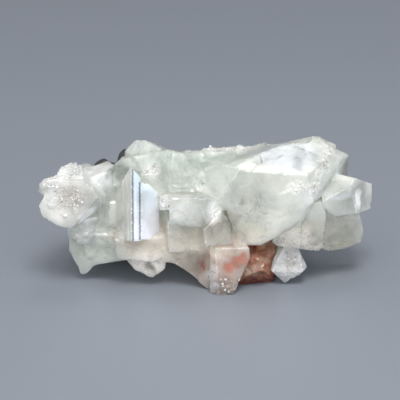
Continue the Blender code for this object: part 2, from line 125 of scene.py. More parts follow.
world = bpy.data.worlds.new("studio")
world.use_nodes = True
sky = world.node_tree
facing = add(sky, "ShaderNodeVectorMath", {0: add(sky, "ShaderNodeTexCoord").outputs["Generated"]},
             operation="DOT_PRODUCT")
facing.inputs[1].default_value = ROOM_BRIGHTEST
room = add(sky, "ShaderNodeMapRange", {"Value": facing.outputs["Value"]}, From_Min=-0.7, From_Max=0.8,
           To_Min=ROOM_BACK, To_Max=ROOM_FRONT)
sky.nodes["Background"].inputs["Color"].default_value = linear("#F6F7F9")
sky.links.new(room.outputs["Result"], sky.nodes["Background"].inputs["Strength"])
bpy.context.scene.world = world
bpy.context.scene.view_settings.view_transform = "Standard"

# ---------------------------------------------------------------- table
# A plain cool grey table top of laminate. Its satin face takes soft shadows and mirrors next to nothing.
TABLE_REACH = 1.5                       # metres from the specimen to the edge of the table


def new_finish(name):
    """A new material, its node tree, and its Principled shader."""
    made = bpy.data.materials.new(name)
    made.use_nodes = True
    return made, made.node_tree, made.node_tree.nodes["Principled BSDF"]


table_mesh = bpy.data.meshes.new("table")
corners = [(x * TABLE_REACH, y * TABLE_REACH, 0) for x, y in ((-1, -1), (1, -1), (1, 1), (-1, 1))]
table_mesh.from_pydata(corners, [], [(0, 1, 2, 3)])
table = linked("table", table_mesh)
satin, tree, shader = new_finish("satin grey laminate")
shader.inputs["Base Color"].default_value = linear("#787E87")
shader.inputs["Roughness"].default_value = 0.45
table_mesh.materials.append(satin)

# ---------------------------------------------------------------- apophyllite crystals
# Clear to milky crystals of apophyllite, a hydrous silicate, grown into each other in a cavity of the basalt.
# Each face is flat but for low growth hillocks, the plates it is made of, and chips along its edges. Some
# places are etched rough, and others are rounded.
MM = 0.001                              # metres in a millimetre
MERGE = 1e-6                            # metres between corners that are one corner
FLAT = 5e-6                             # metres that a facet's corners may leave its plane
SHARP = math.radians(15)                # an edge that turns by more is a rim or the bottom of a groove
FINE_SPACING = 0.38                     # size of the triangles on the show side, and on the hidden sides
COARSE_SPACING = 0.80
BACK_FROM = 4                           # everything beyond this y counts as hidden
HEX_ROW = math.sqrt(3) / 2              # spacing of the rows of a triangular grid
GRID_WANDER = 0.22                      # how far its points stray, as a share of the spacing
EDGE_ROOM = 0.62                        # how near they come to the outline, as a share of the spacing
CUT_EXACT = 1e-7                        # corners of a cut that are closer are one corner
SLIVER = 1e-5                           # twice the area of the smallest cut; others lie along an edge


def facets_of(node):
    """A merged bmesh of a CAD node, its facets as (normal, triangles), and each triangle's facet."""
    bm = bmesh.new()
    bm.from_mesh(node.data)
    bmesh.ops.remove_doubles(bm, verts=bm.verts, dist=MERGE)
    bm.normal_update()
    bm.faces.index_update()
    bm.edges.index_update()
    facets, owner = [], {}
    for largest in sorted(bm.faces, key=lambda face: -face.calc_area()):
        if largest.index in owner:
            continue
        normal, origin = largest.normal.copy(), largest.verts[0].co.copy()
        owner[largest.index] = len(facets)
        members, waiting = [], [largest]
        while waiting:
            face = waiting.pop()
            members.append(face)
            for edge in face.edges:
                for other in edge.link_faces:
                    flat = all(abs((vert.co - origin).dot(normal)) < FLAT for vert in other.verts)
                    if other.index not in owner and flat:
                        owner[other.index] = len(facets)
                        waiting.append(other)
        facets.append((normal, members))
    return bm, facets, owner


def inside(points, starts, ends):
    """Which 2-D points lie inside the outline made of the segments from starts to ends."""
    x, y = points[:, :1], points[:, 1:]
    crosses = (starts[:, 1] > y) != (ends[:, 1] > y)
    rise = np.where(ends[:, 1] == starts[:, 1], 1.0, ends[:, 1] - starts[:, 1])
    at = starts[:, 0] + (y - starts[:, 1]) * (ends[:, 0] - starts[:, 0]) / rise
    return (np.sum(crosses & (x < at), axis=1) % 2) == 1


def inner_grid(flat, starts, ends, gap, number):
    """Points about gap apart inside an outline with the corners flat, strewn the same way for each number."""
    low, high = flat.min(axis=0), flat.max(axis=0)
    rows = np.arange(low[1] + gap / 2, high[1], gap * HEX_ROW)
    columns = np.arange(low[0], high[0], gap)
    grid = [(x + (gap / 2 if k % 2 else 0), y) for k, y in enumerate(rows) for x in columns]
    grid = np.array(grid).reshape(-1, 2)
    if len(grid):
        stray = np.random.default_rng(number).uniform(-GRID_WANDER, GRID_WANDER, grid.shape)
        grid += stray * gap
        grid = grid[inside(grid, starts, ends)]
    if len(grid):
        near = np.full(len(grid), np.inf)
        for corner in flat:
            near = np.minimum(near, np.sum((grid - corner) ** 2, axis=1))
        grid = grid[near > (EDGE_ROOM * gap) ** 2]
    return grid


def fine_mesh(node, spacing_of):
    """Cuts each facet of a CAD node into triangles of about spacing_of(middle, normal) millimetres.

    Edges between facets are divided first, once for both sides, so that the cut facets meet without gaps.
    Then a grid of points fills each facet, and its outline and points are joined into triangles.
    Returns the corners in millimetres, the triangles, each corner's outward direction, for each corner how
    far it is on a rim that sticks out (1), in a groove (-1) or neither (0), each triangle's facet, and the
    facets' normals.
    """
    bm, facets, owner = facets_of(node)
    spacing = []
    for normal, members in facets:
        middle = sum((face.calc_center_median() * face.calc_area() for face in members), Vector())
        middle /= max(sum(face.calc_area() for face in members), 1e-12)
        spacing.append(spacing_of(middle / MM, normal))
    points, directions, rims = [], [], []
    at_vert, on_edge = {}, {}
    for vert in bm.verts:
        at_vert[vert] = len(points)
        points.append(np.array(vert.co) / MM)
        touching = {owner[face.index] for face in vert.link_faces}
        directions.append(np.sum([np.array(facets[k][0]) for k in touching], axis=0))
        paired = [edge for edge in vert.link_edges if len(edge.link_faces) == 2]
        sharp = [edge for edge in paired if edge.calc_face_angle(0) > SHARP]
        rims.append(np.mean([1 if edge.is_convex else -1 for edge in sharp]) if sharp else 0)
    for edge in bm.edges:
        sides = {owner[face.index] for face in edge.link_faces}
        if len(sides) < 2:
            continue
        count = max(1, round(edge.calc_length() / MM / min(spacing[k] for k in sides)))
        start, end = (np.array(vert.co) / MM for vert in edge.verts)
        chain = [at_vert[edge.verts[0]]]
        for step in range(1, count):
            chain.append(len(points))
            points.append(start + (end - start) * step / count)
            directions.append(np.sum([np.array(facets[k][0]) for k in sides], axis=0))
            rims.append((1 if edge.is_convex else -1) if edge.calc_face_angle(0) > SHARP else 0)
        on_edge[edge] = chain + [at_vert[edge.verts[1]]]
    triangles, facet_of = [], []
    for number, (normal, members) in enumerate(facets):
        across = np.array(normal.orthogonal().normalized())
        upright = np.cross(np.array(normal), across)
        segments = []
        around = {edge for face in members for edge in face.edges}
        for edge in sorted(around, key=lambda edge: edge.index):
            if edge in on_edge and {owner[face.index] for face in edge.link_faces} != {number}:
                segments += list(zip(on_edge[edge], on_edge[edge][1:]))
        ids = sorted({corner for segment in segments for corner in segment})
        place = {corner: k for k, corner in enumerate(ids)}
        origin = points[ids[0]]
        flat = np.array([((points[i] - origin) @ across, (points[i] - origin) @ upright) for i in ids])
        starts = np.array([flat[place[a]] for a, b in segments])
        ends = np.array([flat[place[b]] for a, b in segments])
        grid = inner_grid(flat, starts, ends, spacing[number], number)
        coords = [Vector(p) for p in np.vstack([flat, grid])]
        bars = [(place[a], place[b]) for a, b in segments]
        made, _, faces, source, _, _ = geometry.delaunay_2d_cdt(coords, bars, [], 0, CUT_EXACT, True)
        cut = np.array([[tuple(made[i]) for i in face] for face in faces])
        (ax, ay), (bx, by) = (cut[:, 1] - cut[:, 0]).T, (cut[:, 2] - cut[:, 0]).T
        wide = (np.abs(ax * by - ay * bx) > SLIVER) | (len(faces) == 1)
        keep = inside(cut.mean(axis=1), starts, ends) & wide
        numbers = []
        for k, p in enumerate(made):
            if source[k] and source[k][0] < len(ids):
                numbers.append(ids[source[k][0]])
            else:
                numbers.append(len(points))
                points.append(origin + across * p[0] + upright * p[1])
                directions.append(np.array(normal))
                rims.append(0)
        for face, kept in zip(faces, keep):
            if kept:
                triangles.append([numbers[i] for i in face])
                facet_of.append(number)
    bm.free()
    facet_normals = [normal for normal, _ in facets]
    points, triangles = np.array(points), np.array(triangles)
    directions = np.array(directions)
    directions /= np.maximum(np.linalg.norm(directions, axis=1, keepdims=True), 1e-9)
    return points, triangles, directions, np.array(rims, float), np.array(facet_of), facet_normals


def apophyllite_spacing(middle, normal):
    """Fine on the show side and on top, coarser on the back and underneath."""
    hidden = normal.y > 0.5 or normal.z < -0.6 or middle.y > BACK_FROM
    return COARSE_SPACING if hidden else FINE_SPACING


points, triangles, directions, rims, facet_of, facet_normals = fine_mesh(
    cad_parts["apophyllite_crystals"], apophyllite_spacing
)

# Where the growth differs, and a few places where light is painted in: name, middle, half sizes, colour, how
# milky (0 clear to 1), how etched, how far etching has rounded it, and how many dark veils and specks it
# holds. Later rows go over earlier ones.
PATCHES = (
    ("milky crest", (0, 0, 37), (42, 16, 13), "#E1E8E1", 0.40, 0.00, 0.2, 0.2),
    ("crest middle", (-3, -7, 33), (14, 9, 9), "#D3DDD5", 0.42, 0.00, 1.0, 0.2),
    ("rough spot", (-15.1, -5.6, 32.8), (3.4, 5, 3.2), "#F6F8F6", 0.66, 0.70, 0.0, 1.0),
    ("crest ledge", (4.4, -5, 35.9), (3.6, 5, 0.9), "#FFFFFF", 0.95, 0.25, 0.0, 0.0),
    ("crest ledge below", (1.6, -5, 34.6), (3.0, 5, 0.7), "#FFFFFF", 0.92, 0.20, 0.0, 0.0),
    ("crest line", (3, -1, 38), (17, 6, 2.6), "#F6F8F4", 0.55, 0.40, 0.2, 0.2),
    ("main crystal", (20, -10, 27), (15, 12, 14), "#F3F4EC", 0.56, 0.00, 0.0, 0.2),
    ("main crystal veils", (12, -15, 25), (9, 5, 8), "#EFF0E9", 0.48, 0.00, 0.0, 0.78),
    ("main crystal left", (3, -11, 30), (6, 6, 6), "#E9EDE7", 0.50, 0.00, 0.9, 0.4),
    ("main crystal foot", (12, -14.5, 18), (8, 5, 4.5), "#EFF0E2", 0.46, 0.16, 0.1, 0.9),
    ("shoulder", (22, -7, 37.5), (13, 7, 5), "#E9EEF2", 0.32, 0.00, 0.0, 0.8),
    ("shoulder veil", (25.9, -8.6, 37.5), (2.6, 6.0, 4.0), "#CDD5DC", 0.20, 0.00, 0.0, 1.0),
    # The warm cream of this row, the next two and "right lower front" is partly own tint and partly painted
    # light: the pink glow of the stilbite below shining through them.
    ("lower middle", (-2, -14, 12), (26, 12, 11), "#FBF1E3", 0.54, 0.00, 0.2, 0.5),
    ("ledge under the prism", (-17, -12, 15), (14, 7, 5), "#F6ECE0", 0.42, 0.00, 1.0, 0.4),
    ("arch", (-3, -13, 8), (8, 8, 6), "#F8EADF", 0.15, 0.00, 0.9, 0.6),
    ("right lower blocks", (33, -9, 14), (15, 12, 9), "#ECE6DA", 0.15, 0.05, 0.3, 0.8),
    ("right lower front", (25, -12, 15), (6, 6, 6), "#FBF3E9", 0.52, 0.12, 0.3, 0.9),
    ("crumbled corner", (21.8, -12.6, 13.6), (3.4, 4, 3.0), "#FBF3EC", 0.56, 0.62, 0.0, 1.0),
    ("crumbled edge", (30.5, -12.1, 11.5), (6.0, 4, 1.8), "#F6EFE6", 0.50, 0.55, 0.0, 1.0),
    ("pointing crystal", (41, -6, 25), (9, 12, 6), "#E8E9E3", 0.27, 0.00, 0.0, 0.3),
    # Painted highlight: a white glint on the right face of the pointing crystal.
    ("pointing crystal painted glint", (42.4, -7.6, 24.4), (1.2, 3, 3.6), "#FFFFFF", 0.80, 0.00, 0.0, 0.2),
    # Painted reflection: a pale lavender-white band on the top face of the pointing crystal, for the cool
    # light it mirrors.
    ("pointing crystal painted sheen", (36.0, -9.6, 26.6), (4.5, 3, 1.6), "#F6F6FC", 0.42, 0.05, 0.0, 0.2),
    ("pointing crystal end", (46.8, -3, 24), (3, 9, 6), "#F0F2EC", 0.46, 0.00, 0.0, 0.4),
    ("crest end", (-20, -2, 37), (9, 9, 5), "#E3E9E3", 0.40, 0.00, 0.6, 0.3),
    ("back slab", (-29, -8, 24), (6, 9, 12), "#EDF1EB", 0.54, 0.00, 0.2, 0.6),
    ("back slab top", (-31, -6, 31.5), (10, 9, 6), "#F2F5F4", 0.72, 0.00, 0.3, 0.5),
    ("crest end low", (-24, -8, 33), (4.5, 7, 4), "#D3DBD6", 0.16, 0.10, 0.0, 0.9),
    ("green foot", (-30, -9, 9), (10, 9, 9), "#E8EDE5", 0.56, 0.00, 0.5, 0.5),
    ("rosette", (-38, -12, 26.5), (9, 8, 9), "#FBF8F5", 0.66, 0.10, 0.3, 0.3),
    ("rosette middle", (-38, -15, 28), (5.0, 5, 5.0), "#EFEBE6", 0.56, 0.80, 0.3, 0.5),
    ("rosette knobs", (-43.5, -12, 31.5), (4.0, 6, 3.5), "#FDFDFB", 0.60, 0.90, 0.3, 0.2),
    ("rosette crown", (-38, -10, 35), (5.0, 6, 3.5), "#FBFCFA", 0.60, 0.70, 0.3, 0.2),
    ("rosette bevel", (-33.1, -15.1, 21.6), (3.2, 3.4, 4.4), "#FFFFFF", 0.95, 0.00, 0.0, 0.1),
    ("rosette foot", (-34, -12, 16), (5.0, 5, 5.0), "#F2F4F1", 0.58, 0.30, 0.2, 0.7),
    ("bump edge", (38, -3, 33), (5, 8, 6), "#EFF3EC", 0.52, 0.00, 0.4, 0.3),
    ("bevel beside the strip", (33.3, -9, 33.3), (3.5, 5, 5), "#EEF1EB", 0.50, 0.00, 0.2, 0.3),
    ("side of the bump", (39.4, 0.4, 31.0), (4, 4, 6), "#C9CBC4", 0.34, 0.00, 0.0, 0.0),
    ("etched strip top", (34.3, -5.2, 38), (2.2, 3, 3), "#FDFDF8", 0.50, 0.62, 0.0, 1.0),
    ("etched strip upper", (32.6, -8, 35.7), (2.2, 3, 3), "#FFFFF8", 0.62, 0.88, 0.0, 1.0),
    ("etched strip middle", (30.9, -10.6, 33.2), (2.2, 3, 3), "#FFFFF8", 0.68, 0.92, 0.0, 1.0),
    ("etched strip lower", (29.2, -13, 30.7), (2.4, 3.5, 3), "#FFFFF8", 0.70, 0.95, 0.0, 0.9),
    ("etched strip foot", (27.8, -14.6, 28.6), (2.0, 3, 2.6), "#FFFFFF", 0.65, 0.70, 0.0, 0.3),
    ("etched front", (24.2, -14.5, 30.6), (3.4, 4, 2.0), "#FFFEF6", 0.78, 0.46, 0.0, 0.7),
    ("etched front corner", (26.2, -14.5, 32.0), (2.6, 4, 2.0), "#FFFEF6", 0.76, 0.55, 0.0, 0.8),
    ("etched front foot", (21.8, -14.5, 29.6), (3.0, 4, 1.0), "#FFFEF6", 0.74, 0.30, 0.0, 0.5),
    ("pale corner", (26.6, -14.5, 27.3), (3.2, 4, 2.6), "#F7F8F2", 0.66, 0.10, 0.0, 0.1),
    ("centre block", (-4.8, -17, 24.5), (7.5, 6, 5.5), "#FCFFF8", 0.58, 0.00, 0.0, 0.6),
    # Here too the cream and pink are partly painted light, the glow of the stilbite shining through.
    ("lower front block", (3.2, -16, 19.3), (6.5, 6, 7.5), "#F1EADE", 0.26, 0.00, 0.0, 0.6),
    ("centre block end", (1.5, -15, 24.2), (3.0, 5, 4.0), "#FFFFFC", 0.88, 0.55, 0.0, 0.4),
    ("pitted cube", (-11.8, -16, 27), (2.4, 4, 2.6), "#FCFDFC", 0.68, 0.72, 0.0, 1.0),
    ("front crystal", (7, -16, 5), (10, 8, 12), "#FFE9DF", 0.25, 0.00, 0.0, 0.6),
    # Painted light: the stilbite behind the front crystal, seen through it, painted lighter than the shade
    # there leaves it.
    ("salmon shown through", (9.8, -17.6, 10.4), (2.6, 4, 2.6), "#F0A592", 0.34, 0.00, 0.0, 0.6),
    ("salmon shown through between", (8.0, -17.6, 8.8), (1.5, 4, 1.5), "#F1B7A7", 0.28, 0.00, 0.0, 0.6),
    ("salmon shown through below", (6.0, -17.6, 8.0), (2.1, 4, 1.9), "#F0A896", 0.34, 0.00, 0.0, 0.6),
    ("arch stain", (-1.5, -16.1, 7.6), (1.4, 4, 2.8), "#D08D7B", 0.30, 0.00, 0.9, 0.9),
    ("front crystal edge", (1.6, -16.5, 5), (1.8, 4, 5.5), "#FEFCFA", 0.42, 0.50, 0.0, 1.0),
    ("front crystal tip", (6.4, -17, 3.0), (4.4, 4, 3.2), "#F9E6D8", 0.28, 0.62, 0.0, 1.0),
    ("hanging crystal", (23.5, -11, 6), (7, 8, 8), "#FFFFFD", 0.42, 0.03, 0.0, 0.9),
    ("hanging crystal specks", (23.7, -11.6, 7.0), (2.6, 4, 2.6), "#F2F0EC", 0.34, 0.46, 0.0, 1.0),
    ("hanging crystal foot", (24.2, -11, 3.2), (4.0, 5, 2.0), "#FFFFFF", 0.56, 0.60, 0.0, 1.0),
    # Its warm tint is partly painted light, the glow of the stilbite shining through.
    ("blunt crystal", (-17, -12, 6.5), (7, 8, 6.5), "#FAF2EC", 0.70, 0.10, 0.4, 0.9),
    ("dark inclusion", (-16.1, -12.6, 7.3), (2.0, 4, 2.6), "#C3BFB2", 0.42, 0.36, 0.0, 1.0),
)
CLEAR_TINT = "#ECEFE8"                  # the crystal away from these places, and how milky it is there
CLOUD = 0.45
PATCH_WANDER = 1.3                      # how far the edges of these places wander
PATCH_WANDER_WIDE = 2.6
NOISE_SEED = 1                          # fixes how they wander, which would otherwise change at every run
HILLOCK = 0.035                         # height of the low growth hillocks
HILLOCK_WIDE = 3.2
HUMMOCK = 0.30                          # unevenness of the etched, rounded faces
HUMMOCK_WIDE = 4.5
SWELL = 0.08                            # slow unevenness of a whole face
SWELL_WIDE = 9.0
MOSAIC = 5.0                            # width of the plates that a large face is made of
MOSAIC_SLOPE = 0.015                    # how far they tilt from it
SHARD = 0.80                            # width of an etched facet
SHARD_SLOPE = 0.45
RIM_WORN = 0.03                         # what is worn off every rim
CHIP = 0.22                             # deepest chip along a rim
CHIP_WIDE = 1.6
CHIP_SHIFT = Vector((31, 7, 3))         # keeps the chips off the pattern of the hillocks
PRISM_MIDDLE = (-19, -11, 25)           # of the ribbed prism, whose two front faces are truly flat
PRISM_REACH = 16
# The prism face that looks right is tinted bluish white, whiter towards its foot, and made milky: partly a
# painted reflection of the low cool panel, which it also mirrors.
PRISM_FACES = (                         # direction, colour of the head and of the foot, how milky
    ((0.559, -0.797, 0.2285), "#D9E8F2", "#EFEFF6", 0.80),
    ((-0.829, -0.5375, 0.154), "#F4F4EE", "#F4F4EE", 0.52),
)
PRISM_HEAD = 31                         # heights between which the one colour turns into the other
PRISM_FOOT = 20
PRISM_STILL = 0.9                       # share of the hillocks and plates that its flat faces lack
PRISM_GROOVES = -20.8                   # right of this x, its narrow faces that look left are dark grooves
# Painted shade: the narrow faces in the grooves get a dark grey tint and less milk.
GROOVE_SHADE_TINT = "#A9B0B6"
GROOVE_SHADE_CLOUD = 0.3
STANDING = 0.02                         # lower corners stand on the table and stay where they are
ROUNDING = 14                           # how many times the etched edges are eased towards their surroundings
ROUNDING_SHARE = 0.7                    # how far, each time
FOLDED = 0.05                           # a triangle that leans less than this with its neighbours is folded
UNFOLDING = 4                           # how many times the corners of folded triangles are eased


def shards(place, size, slope):
    """Height of a surface that is broken into flat facets, each tilted its own way."""
    _, cells = noise.voronoi(place / size)
    tilt = noise.cell_vector(cells[0] * 37.0) * 2 - Vector((1, 1, 1))
    return (place / size - cells[0]).dot(tilt) * size * slope


def patch_weight(points, middle, half):
    """1 in the inner half of an ellipsoid, falling to 0 at its skin."""
    far = np.linalg.norm((points - np.array(middle)) / np.array(half), axis=1)
    return np.clip((1.0 - far) / 0.5, 0, 1)


def eased(values, sides, share, rounds):
    """Moves each corner's values towards the mean of its neighbours' by share, rounds times."""
    a, b = sides.T
    both = np.concatenate([a, b])
    count = np.maximum(np.bincount(both, minlength=len(values)), 1)
    for _ in range(rounds):
        mean = np.empty_like(values)
        for axis in range(values.shape[1]):
            gathered = np.concatenate([values[b, axis], values[a, axis]])
            mean[:, axis] = np.bincount(both, gathered, len(values)) / count
        values = values + (mean - values) * share[:, None]
    return values


def folded_corners(points, triangles):
    """The corners of the triangles that lean too far from the mean direction at their corners."""
    a, b, c = (points[triangles[:, k]] for k in range(3))
    crossed = np.cross(b - a, c - a)
    means = np.zeros_like(points)
    np.add.at(means, triangles.ravel(), np.repeat(crossed, 3, axis=0))
    means /= np.maximum(np.linalg.norm(means, axis=1, keepdims=True), 1e-12)
    agreement = np.sum(crossed * means[triangles].sum(axis=1), axis=1)
    agreement /= np.maximum(np.linalg.norm(crossed, axis=1) * 3, 1e-12)
    return np.unique(triangles[agreement < FOLDED])


def mesh_of(name, points, triangles, crease):
    """A mesh from corners in millimetres. Its edges that turn by more than crease shade as sharp."""
    made = bpy.data.meshes.new(name)
    made.from_pydata((points * MM).tolist(), [], triangles.tolist())
    made.set_sharp_from_angle(angle=crease)
    return made


tint = np.tile(np.array(linear(CLEAR_TINT)[:3]), (len(points), 1))
cloud = np.full(len(points), CLOUD)
etch, soft, veil = np.zeros((3, len(points)))
noise.seed_set(NOISE_SEED)
wandering = np.array([noise.noise_vector(Vector(p) / PATCH_WANDER_WIDE) for p in points]) * PATCH_WANDER
for _, middle, half, colour, milky, etched, rounded, veiled in PATCHES:
    weight = patch_weight(points + wandering, middle, half)
    tint += (np.array(linear(colour)[:3]) - tint) * weight[:, None]
    cloud += (milky - cloud) * weight
    etch += (etched - etch) * weight
    soft += (rounded - soft) * weight
    veil += (veiled - veil) * weight
calm = np.zeros(len(points))
for facing, head, foot, milky in PRISM_FACES:
    flat = [number for number, normal in enumerate(facet_normals) if normal.dot(Vector(facing)) > 0.99]
    on_face = np.unique(triangles[np.isin(facet_of, flat)])
    on_face = on_face[np.linalg.norm(points[on_face] - np.array(PRISM_MIDDLE), axis=1) < PRISM_REACH]
    low = np.clip((PRISM_HEAD - points[on_face, 2]) / (PRISM_HEAD - PRISM_FOOT), 0, 1)[:, None]
    tint[on_face] = np.array(linear(head)[:3]) * (1 - low) + np.array(linear(foot)[:3]) * low
    cloud[on_face] = milky
    calm[on_face] = 1
    etch[on_face] = 0
    veil[on_face] = 0.1
    rims[on_face] = 0
    if facing[0] < 0:
        # Painted shade in the grooves.
        groove = on_face[points[on_face, 0] > PRISM_GROOVES]
        tint[groove] = linear(GROOVE_SHADE_TINT)[:3]
        cloud[groove] = GROOVE_SHADE_CLOUD
standing = points[:, 2] < STANDING
soft *= 1 - calm
soft[standing] = 0
borders = np.vstack([triangles[:, pair] for pair in ([0, 1], [1, 2], [2, 0])])
sides = np.unique(np.sort(borders, axis=1), axis=0)
points = eased(points, sides, ROUNDING_SHARE * soft, ROUNDING)
directions = eased(directions, sides, ROUNDING_SHARE * soft, ROUNDING)
directions /= np.maximum(np.linalg.norm(directions, axis=1, keepdims=True), 1e-9)
rims = rims * (1 - soft)

shaped = np.empty_like(points)
for k, (p, out, rim, bitten, still, easy) in enumerate(zip(points, directions, rims, etch, calm, soft)):
    at = Vector(p)
    height = HILLOCK * noise.noise(at / HILLOCK_WIDE) + SWELL * noise.noise(at / SWELL_WIDE)
    height += easy * HUMMOCK * noise.fractal(at / HUMMOCK_WIDE, 0.7, 2.0, 4)
    height += shards(at, MOSAIC, MOSAIC_SLOPE)
    height *= 1 - PRISM_STILL * still
    height += bitten * shards(at, SHARD, SHARD_SLOPE)
    if rim > 0:
        chip = max(0.0, noise.noise(at / CHIP_WIDE + CHIP_SHIFT) - 0.1)
        height -= RIM_WORN + CHIP * min(1.0, 2.5 * chip)
    shaped[k] = p + out * height
shaped[standing] = points[standing]
shaped[:, 2] = np.maximum(shaped[:, 2], 0.0)
for _ in range(UNFOLDING):
    share = np.zeros(len(shaped))
    share[folded_corners(shaped, triangles)] = 1
    share[standing] = 0
    shaped = eased(shaped, sides, share, 1)

druse_mesh = mesh_of("apophyllite", shaped, triangles, math.radians(12))
for name, kind, values in (
    ("tint", "FLOAT_COLOR", np.hstack([tint, np.ones((len(points), 1))])),
    ("cloud", "FLOAT", cloud), ("etch", "FLOAT", etch), ("rim", "FLOAT", rims), ("veil", "FLOAT", veil),
    ("calm", "FLOAT", calm), ("ease", "FLOAT", soft),
):
    layer = druse_mesh.attributes.new(name, kind, "POINT")
    layer.data.foreach_set("color" if kind == "FLOAT_COLOR" else "value", values.ravel().astype(np.float32))
druse = linked("apophyllite_cluster", druse_mesh)

# Apophyllite is glassy and clear. Milk, veils of fine cracks and specks cloud it place by place, and the
# light that these scatter inside makes it glow a pale green. Its rims are whitened too, partly as white chips
# and partly as a painted highlight along each edge. Etched places glitter, and rounded ones look waxy. The
# patterns' scales are
# counts per metre: 100 is a pattern about 10 mm wide.
APOPHYLLITE_IOR = 1.535
HAZE_SCALE = 100.0                      # clouds of milk
WISP_SCALE = 520.0                      # wisps, 1.9 mm
FOLD_SCALE = 240.0                      # veils of fine cracks, 4 mm
SPECK_SCALE = 2000.0                    # dark specks, 0.5 mm, larger than the real ones so that they show
FLAKE_SCALE = 1100.0                    # etched facets that glint, 0.9 mm
FROST_SCALE = 1600.0                    # frosting of the etched places, 0.6 mm
ETCHED_SHADE = -0.14                    # how much darker some of the etched facets are
SCATTER_DEPTH = 0.004                   # metres that light wanders inside the milky crystal
ABSORB_TINT = "#E9F0E8"
ABSORB_DENSITY = 7.0                    # per metre

crystal, tree, shader = new_finish("apophyllite crystal")
where = add(tree, "ShaderNodeTexCoord").outputs["Object"]
tint_in = add(tree, "ShaderNodeAttribute", attribute_name="tint").outputs["Color"]
cloud_in, etch_in, rim_in, veil_in, calm_in, ease_in = (
    add(tree, "ShaderNodeAttribute", attribute_name=name).outputs["Fac"]
    for name in ("cloud", "etch", "rim", "veil", "calm", "ease")
)

haze = add(tree, "ShaderNodeTexNoise", {"Vector": where}, Scale=HAZE_SCALE, Detail=4.0, Roughness=0.55,
           Distortion=0.6)
wisps = add(tree, "ShaderNodeTexNoise", {"Vector": where}, Scale=WISP_SCALE, Detail=4.0, Roughness=0.65,
            Distortion=1.2)
milk = add(tree, "ShaderNodeMapRange", {"Value": haze.outputs["Fac"]}, From_Min=0.35, From_Max=0.68,
           To_Min=-0.12, To_Max=0.14)
# Rims are made milkier where the wisps allow: partly white chips, partly a painted highlight along the edges.
rim_whitening = add(tree, "ShaderNodeMapRange", {"Value": wisps.outputs["Fac"]}, From_Min=0.42, From_Max=0.60,
                 To_Min=0.0, To_Max=0.4)
chipped_and_highlit_rim = add(tree, "ShaderNodeMapRange", {"Value": rim_in, "To Max": rim_whitening.outputs["Result"]},
                From_Min=0.3, From_Max=1.0)
milky = add(tree, "ShaderNodeMath", {0: cloud_in, 1: milk.outputs["Result"]}, operation="ADD")
cloudiness = add(tree, "ShaderNodeMath", {0: milky.outputs[0], 1: chipped_and_highlit_rim.outputs["Result"]},
                 operation="ADD", use_clamp=True)
clear = add(tree, "ShaderNodeMapRange", {"Value": cloudiness.outputs[0]}, To_Min=0.97, To_Max=0.15)
tree.links.new(clear.outputs["Result"], shader.inputs["Transmission Weight"])

flakes = add(tree, "ShaderNodeTexVoronoi", {"Vector": where}, Scale=FLAKE_SCALE)
glint = add(tree, "ShaderNodeSeparateColor", {"Color": flakes.outputs["Color"]})
darker = add(tree, "ShaderNodeMath", {0: glint.outputs["Red"], 1: etch_in}, operation="MULTIPLY")
shade = add(tree, "ShaderNodeMapRange", {"Value": wisps.outputs["Fac"]}, From_Min=0.3, From_Max=0.7,
            To_Min=0.92, To_Max=1.03)
shade_etched = add(tree, "ShaderNodeMath", {0: darker.outputs[0], 2: shade.outputs["Result"]},
                   operation="MULTIPLY_ADD")
shade_etched.inputs[1].default_value = ETCHED_SHADE
folds = add(tree, "ShaderNodeTexNoise", {"Vector": where}, Scale=FOLD_SCALE, Detail=6.0, Roughness=0.7,
            Distortion=2.0)
thin = add(tree, "ShaderNodeMapRange", {"Value": folds.outputs["Fac"]}, From_Min=0.36, From_Max=0.47,
           To_Min=0.34, To_Max=0.0)
specks = add(tree, "ShaderNodeTexNoise", {"Vector": where}, Scale=SPECK_SCALE, Detail=2.0, Distortion=1.0)
speckled = add(tree, "ShaderNodeMapRange", {"Value": specks.outputs["Fac"]}, From_Min=0.57, From_Max=0.64,
               To_Min=0.0, To_Max=0.42)
many = add(tree, "ShaderNodeMapRange", {"Value": veil_in}, From_Min=0.60, From_Max=1.0,
           To_Min=0.1, To_Max=1.0)
flecked = add(tree, "ShaderNodeMath", {0: speckled.outputs["Result"], 1: many.outputs["Result"]},
              operation="MULTIPLY")
dark = add(tree, "ShaderNodeMath", {0: thin.outputs["Result"], 1: flecked.outputs[0]}, operation="ADD")
veiled = add(tree, "ShaderNodeMath", {0: dark.outputs[0], 1: veil_in}, operation="MULTIPLY")
shade_all = add(tree, "ShaderNodeMath", {0: shade_etched.outputs[0], 1: veiled.outputs[0]},
                operation="SUBTRACT")
colour = add(tree, "ShaderNodeVectorMath", {0: tint_in}, operation="SCALE")
tree.links.new(shade_all.outputs[0], colour.inputs["Scale"])
tree.links.new(colour.outputs[0], shader.inputs["Base Color"])

rough = add(tree, "ShaderNodeMapRange", {"Value": haze.outputs["Fac"]}, From_Min=0.3, From_Max=0.7,
            To_Min=0.03, To_Max=0.09)
frosted = add(tree, "ShaderNodeMapRange", {"Value": etch_in}, To_Min=0.0, To_Max=0.03)
etched_rough = add(tree, "ShaderNodeMath", {0: rough.outputs["Result"], 1: frosted.outputs["Result"]},
                   operation="ADD")
waxy = add(tree, "ShaderNodeMapRange", {"Value": ease_in}, To_Min=0.0, To_Max=0.34)
roughness = add(tree, "ShaderNodeMath", {0: etched_rough.outputs[0], 1: waxy.outputs["Result"]},
                operation="ADD")
tree.links.new(roughness.outputs[0], shader.inputs["Roughness"])

